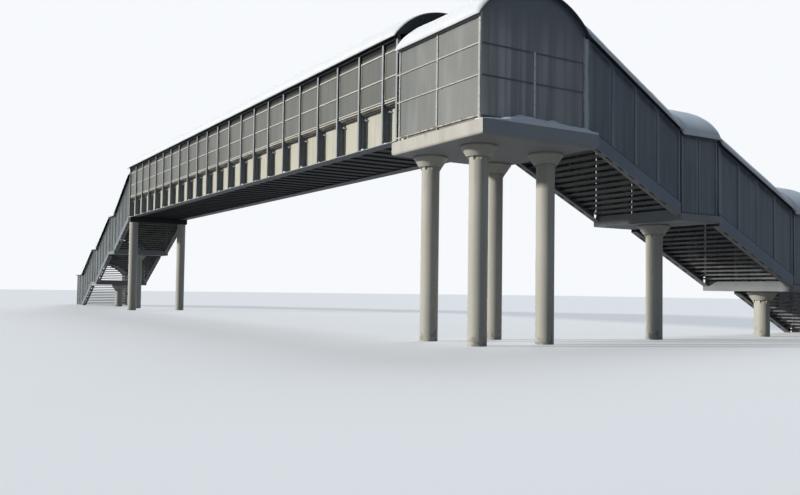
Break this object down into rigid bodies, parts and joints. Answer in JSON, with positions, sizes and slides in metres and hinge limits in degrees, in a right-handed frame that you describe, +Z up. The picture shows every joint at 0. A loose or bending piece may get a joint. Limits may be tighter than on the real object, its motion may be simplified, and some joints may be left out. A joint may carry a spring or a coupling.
{
  "type": "covered steel footbridge, half-scale model",
  "caption": "Covered footbridge over a road: glazed girder span, corner landing on round columns, two roofed stairs. Model at half the real size.",
  "frame": {"origin": "middle of the plan, at ground level", "axes": "+X along the span towards the corner landing, +Y down the near stair away from the span, +Z up"},
  "size_m": [26.815, 10.295, 4.9298],
  "materials": {
    "girder_paint": "aged cream paint",
    "deck_steel": "blue-grey paint",
    "gallery_frame_paint": "aged pale paint",
    "landing_frame_paint": "aged pale grey paint",
    "stair_frame_paint": "aged grey paint",
    "glazing": "streaked smoked sheet",
    "roof_sheet": "weathered translucent sheet",
    "end_panel": "matt dark paint",
    "slab_concrete": "painted concrete",
    "column_paint": "chalky cream paint",
    "tread_steel": "worn dark paint",
    "stringer_paint": "aged blue-grey paint"
  },
  "bodies": {
    "root": {"corner_back_frame": "landing_frame_paint", "corner_capitals": "column_paint", "corner_columns": "column_paint", "corner_floor": "deck_steel", "corner_front_frame": "landing_frame_paint", "corner_gable_frame": "landing_frame_paint", "corner_glazing": "glazing", "corner_roof": "roof_sheet", "corner_slab": "slab_concrete", "far_columns": "column_paint", "far_entrance_frame": "stair_frame_paint", "far_entrance_roof": "roof_sheet", "far_flight_frames": "stair_frame_paint", "far_flight_roofs": "roof_sheet", "far_glazing": "glazing", "far_head_beam": "deck_steel", "far_pier_capitals": "column_paint", "far_piers": "column_paint", "far_rest_frames": "stair_frame_paint", "far_rest_roofs": "roof_sheet", "far_rest_slabs": "slab_concrete", "far_stringer_flanges": "tread_steel", "far_stringers": "stringer_paint", "far_treads_lower": "tread_steel", "far_treads_middle": "tread_steel", "far_treads_upper": "tread_steel", "gallery_end_panels": "end_panel", "gallery_frame_back": "gallery_frame_paint", "gallery_frame_front": "gallery_frame_paint", "gallery_glazing_back": "glazing", "gallery_glazing_front": "glazing", "gallery_roof": "roof_sheet", "girder_back": "girder_paint", "girder_front": "girder_paint", "near_entrance_frame": "stair_frame_paint", "near_entrance_roof": "roof_sheet", "near_flight_frames": "stair_frame_paint", "near_flight_roofs": "roof_sheet", "near_glazing": "glazing", "near_pier_capitals": "column_paint", "near_piers": "column_paint", "near_rest_frames": "stair_frame_paint", "near_rest_roofs": "roof_sheet", "near_rest_slabs": "slab_concrete", "near_stringer_flanges": "tread_steel", "near_stringers": "stringer_paint", "near_treads_lower": "tread_steel", "near_treads_middle": "tread_steel", "near_treads_upper": "tread_steel", "span_deck": "deck_steel", "stair_head_jambs": "landing_frame_paint", "stair_head_panel": "end_panel"}
  },
  "joints": []
}
